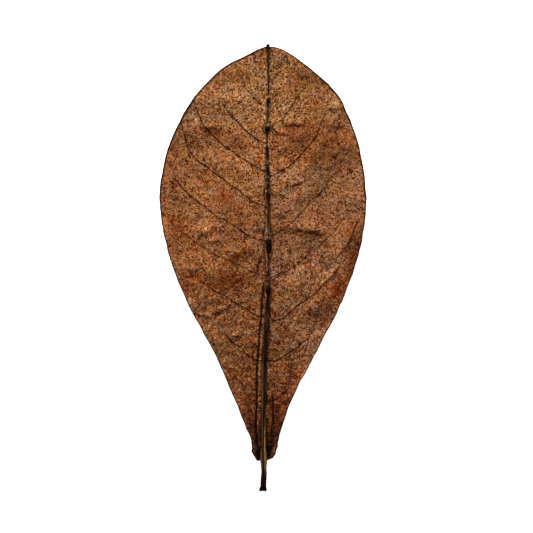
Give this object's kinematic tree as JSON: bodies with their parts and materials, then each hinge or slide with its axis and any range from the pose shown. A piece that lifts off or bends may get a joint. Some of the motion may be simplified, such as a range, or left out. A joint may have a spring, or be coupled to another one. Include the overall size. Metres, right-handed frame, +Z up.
{
  "type": "indian almond leaf",
  "caption": "Dried brown obovate leaf with a knotted dark midrib, curved side veins, a gently waved blade and a short cut petiole, lying upper side up.",
  "frame": {"origin": "on the table below the middle of the leaf's box", "axes": "+Y towards the leaf's tip, +Z up out of its upper side, +X to the right seen from above"},
  "size_m": [0.1006, 0.2172, 0.0118],
  "materials": {
    "dried_leaf": "matt"
  },
  "bodies": {
    "root": {"leaf": "dried_leaf"}
  },
  "joints": []
}
